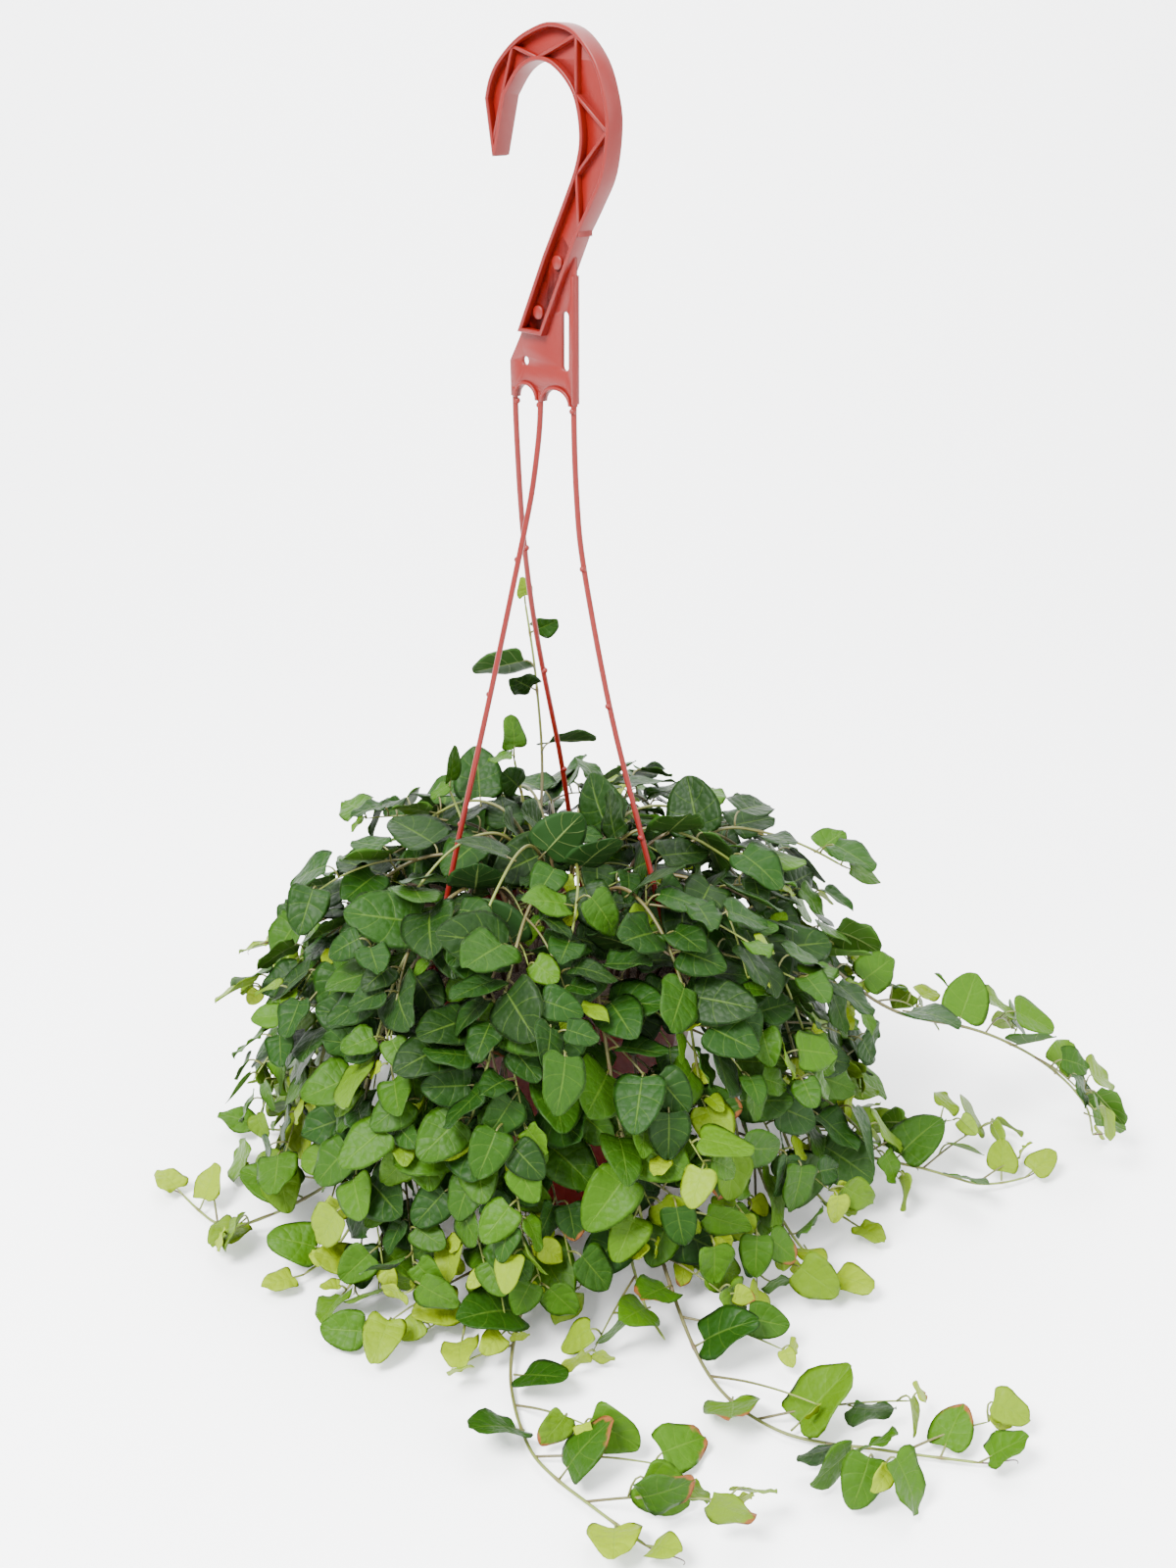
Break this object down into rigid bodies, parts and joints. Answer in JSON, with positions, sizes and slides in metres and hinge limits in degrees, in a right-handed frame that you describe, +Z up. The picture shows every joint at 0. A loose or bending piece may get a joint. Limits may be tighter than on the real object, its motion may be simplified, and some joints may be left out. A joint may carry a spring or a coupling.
{
  "type": "potted creeping fig",
  "caption": "Creeping fig with layered trailing leafy stems in a tapered plastic pot, with a moulded hook and wire hanger.",
  "frame": {"origin": "middle of the pot's flat underside", "axes": "+Z up out of the pot towards the hook, +X to the side where the longest loose stem reaches out, -Y to the front where the two longest stems run out along the surface"},
  "size_m": [0.486, 0.4645, 0.533],
  "materials": {
    "terracotta_plastic": "satin moulded terracotta-coloured plastic",
    "potting_soil": "rough dark peat soil",
    "leaves_dark": "satin leaf with sunken veins, dark green",
    "leaves_mid": "satin leaf with sunken veins, mid green",
    "leaves_light": "satin young leaf with sunken veins, yellow-green"
  },
  "bodies": {
    "root": {"pot": "terracotta_plastic", "hanger": "terracotta_plastic", "soil": "potting_soil", "front_runner": "leaves_light", "front_right_runner": "leaves_light", "right_runner": "leaves_light", "left_runner": "leaves_light", "upright_tall": "leaves_mid", "upright_pale": "leaves_light", "upright_left": "leaves_mid", "upright_right": "leaves_mid", "far_right": "leaves_light", "far_left": "leaves_mid", "skirt_1": "leaves_light", "skirt_2": "leaves_light", "skirt_3": "leaves_light", "skirt_4": "leaves_light", "skirt_5": "leaves_light", "skirt_6": "leaves_light", "skirt_7": "leaves_light", "skirt_8": "leaves_light", "skirt_9": "leaves_light", "skirt_10": "leaves_light", "skirt_11": "leaves_light", "skirt_12": "leaves_light", "skirt_13": "leaves_light", "side_1": "leaves_mid", "side_2": "leaves_mid", "side_3": "leaves_mid", "side_4": "leaves_mid", "side_5": "leaves_mid", "side_6": "leaves_mid", "side_7": "leaves_mid", "side_8": "leaves_mid", "side_9": "leaves_mid", "side_10": "leaves_mid", "side_11": "leaves_mid", "side_12": "leaves_mid", "side_13": "leaves_mid", "shoulder_1": "leaves_dark", "shoulder_2": "leaves_dark", "shoulder_3": "leaves_dark", "shoulder_4": "leaves_dark", "shoulder_5": "leaves_dark", "shoulder_6": "leaves_dark", "shoulder_7": "leaves_dark", "shoulder_8": "leaves_dark", "shoulder_9": "leaves_dark", "crown_1": "leaves_dark", "crown_2": "leaves_dark", "crown_3": "leaves_dark", "crown_4": "leaves_dark", "crown_5": "leaves_dark", "crown_6": "leaves_dark", "crown_7": "leaves_dark", "crown_9": "leaves_dark"}
  },
  "joints": []
}
